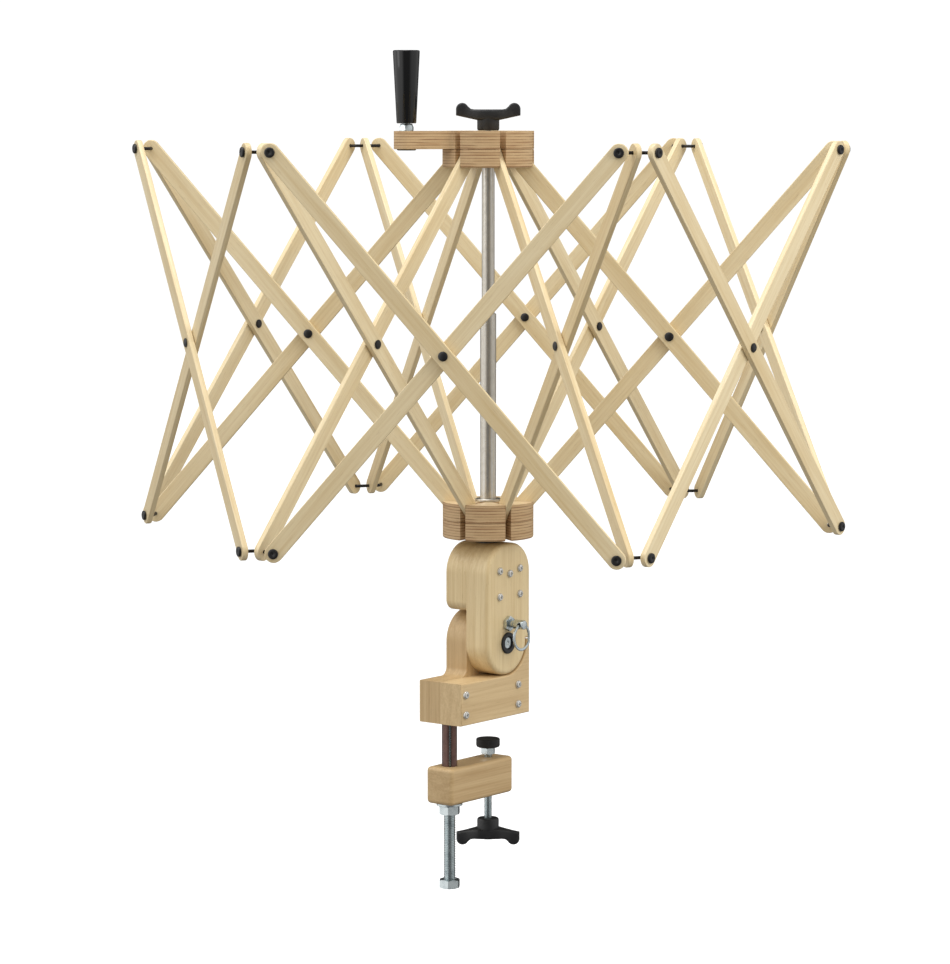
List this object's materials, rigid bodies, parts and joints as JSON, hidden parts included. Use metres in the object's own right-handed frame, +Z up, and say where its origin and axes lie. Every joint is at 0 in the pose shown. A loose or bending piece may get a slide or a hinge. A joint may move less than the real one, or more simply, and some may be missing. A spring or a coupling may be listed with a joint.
{
  "type": "umbrella swift",
  "caption": "Table-clamped umbrella swift: slats on two hubs open and close like a lattice cage that spins on a tilting head with a crank, to hold a skein for winding.",
  "frame": {"origin": "on the swift's axis, on the underside of the foot where it rests on the table", "axes": "+Z up the swift's axis, X along the tilt pivot, -Y the way the head tips over, away from the table"},
  "size_m": [0.6366, 0.7154, 0.8325],
  "materials": {
    "slat_wood": "satin",
    "plywood": "satin",
    "hardwood": "satin",
    "aluminium": "satin",
    "black_plastic": "matte",
    "gloss_black": "gloss",
    "black_wire": "satin",
    "zinc_steel": "satin",
    "pad_rubber": "matte"
  },
  "bodies": {
    "base": {"base_post_board": "hardwood", "base_cheek_board": "hardwood", "base_screws": "zinc_steel", "clamp_rod": "zinc_steel", "pivot_bolt": "zinc_steel"},
    "jaw": {"clamp_jaw": "hardwood"},
    "jaw_nut": {"jaw_nut": "zinc_steel"},
    "pad": {"clamp_pad": "pad_rubber"},
    "clamp_screw": {"clamp_screw": "zinc_steel", "clamp_knob": "black_plastic"},
    "tilt_head": {"tilt_block": "hardwood", "tilt_plate": "hardwood", "tilt_screws": "zinc_steel", "plunger_body": "zinc_steel", "head_bushes": "black_plastic"},
    "plunger": {"plunger_pin": "zinc_steel"},
    "ring": {"pull_ring": "zinc_steel"},
    "carrier": {"outer_tube": "aluminium", "bottom_hub": "plywood"},
    "top_hub": {"top_hub": "plywood", "inner_tube": "aluminium", "handle_stud": "zinc_steel"},
    "lock_knob": {"top_knob": "black_plastic"},
    "handle": {"crank_handle": "gloss_black"},
    "lower_arm_1": {"lower_arm_1": "slat_wood"},
    "upper_arm_1": {"upper_arm_1": "slat_wood"},
    "lattice_out_1": {"lattice_out_1": "slat_wood"},
    "lattice_in_1": {"lattice_in_1": "slat_wood"},
    "top_tip_pin_1": {"top_tip_pin_1": "black_wire"},
    "bottom_tip_pin_1": {"bottom_tip_pin_1": "black_wire"},
    "lower_arm_2": {"lower_arm_2": "slat_wood"},
    "upper_arm_2": {"upper_arm_2": "slat_wood"},
    "lattice_out_2": {"lattice_out_2": "slat_wood"},
    "lattice_in_2": {"lattice_in_2": "slat_wood"},
    "top_tip_pin_2": {"top_tip_pin_2": "black_wire"},
    "bottom_tip_pin_2": {"bottom_tip_pin_2": "black_wire"},
    "lower_arm_3": {"lower_arm_3": "slat_wood"},
    "upper_arm_3": {"upper_arm_3": "slat_wood"},
    "lattice_out_3": {"lattice_out_3": "slat_wood"},
    "lattice_in_3": {"lattice_in_3": "slat_wood"},
    "top_tip_pin_3": {"top_tip_pin_3": "black_wire"},
    "bottom_tip_pin_3": {"bottom_tip_pin_3": "black_wire"},
    "lower_arm_4": {"lower_arm_4": "slat_wood"},
    "upper_arm_4": {"upper_arm_4": "slat_wood"},
    "lattice_out_4": {"lattice_out_4": "slat_wood"},
    "lattice_in_4": {"lattice_in_4": "slat_wood"},
    "top_tip_pin_4": {"top_tip_pin_4": "black_wire"},
    "bottom_tip_pin_4": {"bottom_tip_pin_4": "black_wire"},
    "lower_arm_5": {"lower_arm_5": "slat_wood"},
    "upper_arm_5": {"upper_arm_5": "slat_wood"},
    "lattice_out_5": {"lattice_out_5": "slat_wood"},
    "lattice_in_5": {"lattice_in_5": "slat_wood"},
    "top_tip_pin_5": {"top_tip_pin_5": "black_wire"},
    "bottom_tip_pin_5": {"bottom_tip_pin_5": "black_wire"},
    "lower_arm_6": {"lower_arm_6": "slat_wood"},
    "upper_arm_6": {"upper_arm_6": "slat_wood"},
    "lattice_out_6": {"lattice_out_6": "slat_wood"},
    "lattice_in_6": {"lattice_in_6": "slat_wood"},
    "top_tip_pin_6": {"top_tip_pin_6": "black_wire"},
    "bottom_tip_pin_6": {"bottom_tip_pin_6": "black_wire"}
  },
  "joints": [
    {"name": "tilt", "type": "hinge", "parent": "base", "child": "tilt_head", "pos_m": [0, -0.0031, 0.075], "axis": [1, 0, 0], "range_deg": [0, 90]},
    {"name": "spin", "type": "hinge", "parent": "tilt_head", "child": "carrier", "pos_m": [0, 0, 0.198], "axis": [0, 0, 1], "continuous": true},
    {"name": "fold", "type": "hinge", "parent": "carrier", "child": "lower_arm_1", "pos_m": [0.01905, 0.011, 0.198], "axis": [-0.5, 0.866, 0], "range_deg": [-32, 17]},
    {"name": "cross_hinge_1", "type": "hinge", "parent": "lower_arm_1", "child": "upper_arm_1", "pos_m": [0.15713, 0.09072, 0.38271], "axis": [-0.5, 0.866, 0], "range_deg": [-34.5, 64.5]},
    {"name": "top_hub_hinge", "type": "hinge", "parent": "upper_arm_1", "child": "top_hub", "pos_m": [0.01905, 0.011, 0.56741], "axis": [-0.5, 0.866, 0], "range_deg": [-32.5, 17.5]},
    {"name": "lower_hinge_2", "type": "hinge", "parent": "carrier", "child": "lower_arm_2", "pos_m": [0, 0.022, 0.198], "axis": [-1, 0, 0], "range_deg": [-32.5, 17.5]},
    {"name": "cross_hinge_2", "type": "hinge", "parent": "lower_arm_2", "child": "upper_arm_2", "pos_m": [0, 0.18144, 0.38271], "axis": [-1, 0, 0], "range_deg": [-34.5, 64.5]},
    {"name": "lower_hinge_3", "type": "hinge", "parent": "carrier", "child": "lower_arm_3", "pos_m": [-0.01905, 0.011, 0.198], "axis": [-0.5, -0.866, 0], "range_deg": [-32.5, 17.5]},
    {"name": "cross_hinge_3", "type": "hinge", "parent": "lower_arm_3", "child": "upper_arm_3", "pos_m": [-0.15713, 0.09072, 0.38271], "axis": [-0.5, -0.866, 0], "range_deg": [-34.5, 64.5]},
    {"name": "lower_hinge_4", "type": "hinge", "parent": "carrier", "child": "lower_arm_4", "pos_m": [-0.01905, -0.011, 0.198], "axis": [0.5, -0.866, 0], "range_deg": [-32.5, 17.5]},
    {"name": "cross_hinge_4", "type": "hinge", "parent": "lower_arm_4", "child": "upper_arm_4", "pos_m": [-0.15713, -0.09072, 0.38271], "axis": [0.5, -0.866, 0], "range_deg": [-34.5, 64.5]},
    {"name": "lower_hinge_5", "type": "hinge", "parent": "carrier", "child": "lower_arm_5", "pos_m": [0, -0.022, 0.198], "axis": [1, 0, 0], "range_deg": [-32.5, 17.5]},
    {"name": "cross_hinge_5", "type": "hinge", "parent": "lower_arm_5", "child": "upper_arm_5", "pos_m": [0, -0.18144, 0.38271], "axis": [1, 0, 0], "range_deg": [-34.5, 64.5]},
    {"name": "lower_hinge_6", "type": "hinge", "parent": "carrier", "child": "lower_arm_6", "pos_m": [0.01905, -0.011, 0.198], "axis": [0.5, 0.866, 0], "range_deg": [-32.5, 17.5]},
    {"name": "cross_hinge_6", "type": "hinge", "parent": "lower_arm_6", "child": "upper_arm_6", "pos_m": [0.15713, -0.09072, 0.38271], "axis": [0.5, 0.866, 0], "range_deg": [-34.5, 64.5]},
    {"name": "top_tip_1", "type": "hinge", "parent": "lower_arm_1", "child": "top_tip_pin_1", "pos_m": [0.2952, 0.17044, 0.56741], "axis": [-0.5, 0.866, 0], "range_deg": [-17.5, 32.5]},
    {"name": "bottom_tip_1", "type": "hinge", "parent": "upper_arm_1", "child": "bottom_tip_pin_1", "pos_m": [0.2952, 0.17044, 0.198], "axis": [-0.5, 0.866, 0], "range_deg": [-32.5, 17.5]},
    {"name": "top_tip_2", "type": "hinge", "parent": "lower_arm_2", "child": "top_tip_pin_2", "pos_m": [0, 0.34087, 0.56741], "axis": [-1, 0, 0], "range_deg": [-17.5, 32.5]},
    {"name": "bottom_tip_2", "type": "hinge", "parent": "upper_arm_2", "child": "bottom_tip_pin_2", "pos_m": [0, 0.34087, 0.198], "axis": [-1, 0, 0], "range_deg": [-32.5, 17.5]},
    {"name": "top_tip_3", "type": "hinge", "parent": "lower_arm_3", "child": "top_tip_pin_3", "pos_m": [-0.2952, 0.17044, 0.56741], "axis": [-0.5, -0.866, 0], "range_deg": [-17.5, 32.5]},
    {"name": "bottom_tip_3", "type": "hinge", "parent": "upper_arm_3", "child": "bottom_tip_pin_3", "pos_m": [-0.2952, 0.17044, 0.198], "axis": [-0.5, -0.866, 0], "range_deg": [-32.5, 17.5]},
    {"name": "top_tip_4", "type": "hinge", "parent": "lower_arm_4", "child": "top_tip_pin_4", "pos_m": [-0.2952, -0.17044, 0.56741], "axis": [0.5, -0.866, 0], "range_deg": [-17.5, 32.5]},
    {"name": "bottom_tip_4", "type": "hinge", "parent": "upper_arm_4", "child": "bottom_tip_pin_4", "pos_m": [-0.2952, -0.17044, 0.198], "axis": [0.5, -0.866, 0], "range_deg": [-32.5, 17.5]},
    {"name": "top_tip_5", "type": "hinge", "parent": "lower_arm_5", "child": "top_tip_pin_5", "pos_m": [0, -0.34087, 0.56741], "axis": [1, 0, 0], "range_deg": [-17.5, 32.5]},
    {"name": "bottom_tip_5", "type": "hinge", "parent": "upper_arm_5", "child": "bottom_tip_pin_5", "pos_m": [0, -0.34087, 0.198], "axis": [1, 0, 0], "range_deg": [-32.5, 17.5]},
    {"name": "top_tip_6", "type": "hinge", "parent": "lower_arm_6", "child": "top_tip_pin_6", "pos_m": [0.2952, -0.17044, 0.56741], "axis": [0.5, 0.866, 0], "range_deg": [-17.5, 32.5]},
    {"name": "bottom_tip_6", "type": "hinge", "parent": "upper_arm_6", "child": "bottom_tip_pin_6", "pos_m": [0.2952, -0.17044, 0.198], "axis": [0.5, 0.866, 0], "range_deg": [-32.5, 17.5]},
    {"name": "out_hinge_1", "type": "hinge", "parent": "top_tip_pin_1", "child": "lattice_out_1", "pos_m": [0.29443, 0.19109, 0.56741], "axis": [0.5, 0.866, 0], "range_deg": [-32.5, 17.5]},
    {"name": "in_hinge_1", "type": "hinge", "parent": "top_tip_pin_2", "child": "lattice_in_1", "pos_m": [0.01528, 0.34533, 0.56741], "axis": [0.5, 0.866, 0], "range_deg": [-17.5, 32.5]},
    {"name": "out_hinge_2", "type": "hinge", "parent": "top_tip_pin_2", "child": "lattice_out_2", "pos_m": [-0.01828, 0.35053, 0.56741], "axis": [-0.5, 0.866, 0], "range_deg": [-32.5, 17.5]},
    {"name": "in_hinge_2", "type": "hinge", "parent": "top_tip_pin_3", "child": "lattice_in_2", "pos_m": [-0.29143, 0.1859, 0.56741], "axis": [-0.5, 0.866, 0], "range_deg": [-17.5, 32.5]},
    {"name": "out_hinge_3", "type": "hinge", "parent": "top_tip_pin_3", "child": "lattice_out_3", "pos_m": [-0.3127, 0.15943, 0.56741], "axis": [-1, 0, 0], "range_deg": [-32.5, 17.5]},
    {"name": "in_hinge_3", "type": "hinge", "parent": "top_tip_pin_4", "child": "lattice_in_3", "pos_m": [-0.3067, -0.15943, 0.56741], "axis": [-1, 0, 0], "range_deg": [-17.5, 32.5]},
    {"name": "out_hinge_4", "type": "hinge", "parent": "top_tip_pin_4", "child": "lattice_out_4", "pos_m": [-0.29443, -0.19109, 0.56741], "axis": [-0.5, -0.866, 0], "range_deg": [-32.5, 17.5]},
    {"name": "in_hinge_4", "type": "hinge", "parent": "top_tip_pin_5", "child": "lattice_in_4", "pos_m": [-0.01528, -0.34533, 0.56741], "axis": [-0.5, -0.866, 0], "range_deg": [-17.5, 32.5]},
    {"name": "out_hinge_5", "type": "hinge", "parent": "top_tip_pin_5", "child": "lattice_out_5", "pos_m": [0.01828, -0.35053, 0.56741], "axis": [0.5, -0.866, 0], "range_deg": [-32.5, 17.5]},
    {"name": "in_hinge_5", "type": "hinge", "parent": "top_tip_pin_6", "child": "lattice_in_5", "pos_m": [0.29143, -0.1859, 0.56741], "axis": [0.5, -0.866, 0], "range_deg": [-17.5, 32.5]},
    {"name": "out_hinge_6", "type": "hinge", "parent": "top_tip_pin_6", "child": "lattice_out_6", "pos_m": [0.3127, -0.15943, 0.56741], "axis": [1, 0, 0], "range_deg": [-32.5, 17.5]},
    {"name": "in_hinge_6", "type": "hinge", "parent": "top_tip_pin_1", "child": "lattice_in_6", "pos_m": [0.3067, 0.15943, 0.56741], "axis": [1, 0, 0], "range_deg": [-17.5, 32.5]},
    {"name": "handle_spin", "type": "hinge", "parent": "top_hub", "child": "handle", "pos_m": [-0.0435, -0.07534, 0.62541], "axis": [0, 0, 1], "continuous": true},
    {"name": "lock_turn", "type": "hinge", "parent": "top_hub", "child": "lock_knob", "pos_m": [0, 0, 0.58541], "axis": [0, 0, 1], "range_deg": [-180, 180]},
    {"name": "plunger_pull", "type": "slide", "parent": "tilt_head", "child": "plunger", "axis": [1, 0, 0], "range_m": [-0.0045, 0]},
    {"name": "ring_swing", "type": "hinge", "parent": "plunger", "child": "ring", "pos_m": [0.0447, -0.0031, 0.0948], "axis": [0, 1, 0], "range_deg": [-70, 20]},
    {"name": "jaw_slide", "type": "slide", "parent": "base", "child": "jaw", "axis": [0, 0, 1], "range_m": [-0.0351, 0.0071]},
    {"name": "nut_turn", "type": "hinge", "parent": "jaw", "child": "jaw_nut", "pos_m": [0, -0.063, -0.09], "axis": [0, 0, 1], "range_deg": [-7272, 1512]},
    {"name": "pad_lift", "type": "slide", "parent": "jaw", "child": "pad", "axis": [0, 0, 1], "range_m": [-0.00135, 0.0151]},
    {"name": "screw_turn", "type": "hinge", "parent": "pad", "child": "clamp_screw", "pos_m": [0, 0, -0.08], "axis": [0, 0, 1], "range_deg": [-432, 4392]}
  ],
  "couplings": [
    {"joint": "cross_hinge_1", "follows": "fold", "ratio": -2},
    {"joint": "top_hub_hinge", "follows": "fold", "ratio": 1},
    {"joint": "lower_hinge_2", "follows": "fold", "ratio": 1},
    {"joint": "cross_hinge_2", "follows": "fold", "ratio": -2},
    {"joint": "lower_hinge_3", "follows": "fold", "ratio": 1},
    {"joint": "cross_hinge_3", "follows": "fold", "ratio": -2},
    {"joint": "lower_hinge_4", "follows": "fold", "ratio": 1},
    {"joint": "cross_hinge_4", "follows": "fold", "ratio": -2},
    {"joint": "lower_hinge_5", "follows": "fold", "ratio": 1},
    {"joint": "cross_hinge_5", "follows": "fold", "ratio": -2},
    {"joint": "lower_hinge_6", "follows": "fold", "ratio": 1},
    {"joint": "cross_hinge_6", "follows": "fold", "ratio": -2},
    {"joint": "top_tip_1", "follows": "fold", "ratio": -1},
    {"joint": "bottom_tip_1", "follows": "fold", "ratio": 1},
    {"joint": "top_tip_2", "follows": "fold", "ratio": -1},
    {"joint": "bottom_tip_2", "follows": "fold", "ratio": 1},
    {"joint": "top_tip_3", "follows": "fold", "ratio": -1},
    {"joint": "bottom_tip_3", "follows": "fold", "ratio": 1},
    {"joint": "top_tip_4", "follows": "fold", "ratio": -1},
    {"joint": "bottom_tip_4", "follows": "fold", "ratio": 1},
    {"joint": "top_tip_5", "follows": "fold", "ratio": -1},
    {"joint": "bottom_tip_5", "follows": "fold", "ratio": 1},
    {"joint": "top_tip_6", "follows": "fold", "ratio": -1},
    {"joint": "bottom_tip_6", "follows": "fold", "ratio": 1},
    {"joint": "out_hinge_1", "follows": "fold", "ratio": 1},
    {"joint": "in_hinge_1", "follows": "fold", "ratio": -1},
    {"joint": "out_hinge_2", "follows": "fold", "ratio": 1},
    {"joint": "in_hinge_2", "follows": "fold", "ratio": -1},
    {"joint": "out_hinge_3", "follows": "fold", "ratio": 1},
    {"joint": "in_hinge_3", "follows": "fold", "ratio": -1},
    {"joint": "out_hinge_4", "follows": "fold", "ratio": 1},
    {"joint": "in_hinge_4", "follows": "fold", "ratio": -1},
    {"joint": "out_hinge_5", "follows": "fold", "ratio": 1},
    {"joint": "in_hinge_5", "follows": "fold", "ratio": -1},
    {"joint": "out_hinge_6", "follows": "fold", "ratio": 1},
    {"joint": "in_hinge_6", "follows": "fold", "ratio": -1},
    {"joint": "nut_turn", "follows": "jaw_slide", "rad_per_m": 3590.4},
    {"joint": "screw_turn", "follows": "pad_lift", "rad_per_m": 5026.5}
  ]
}
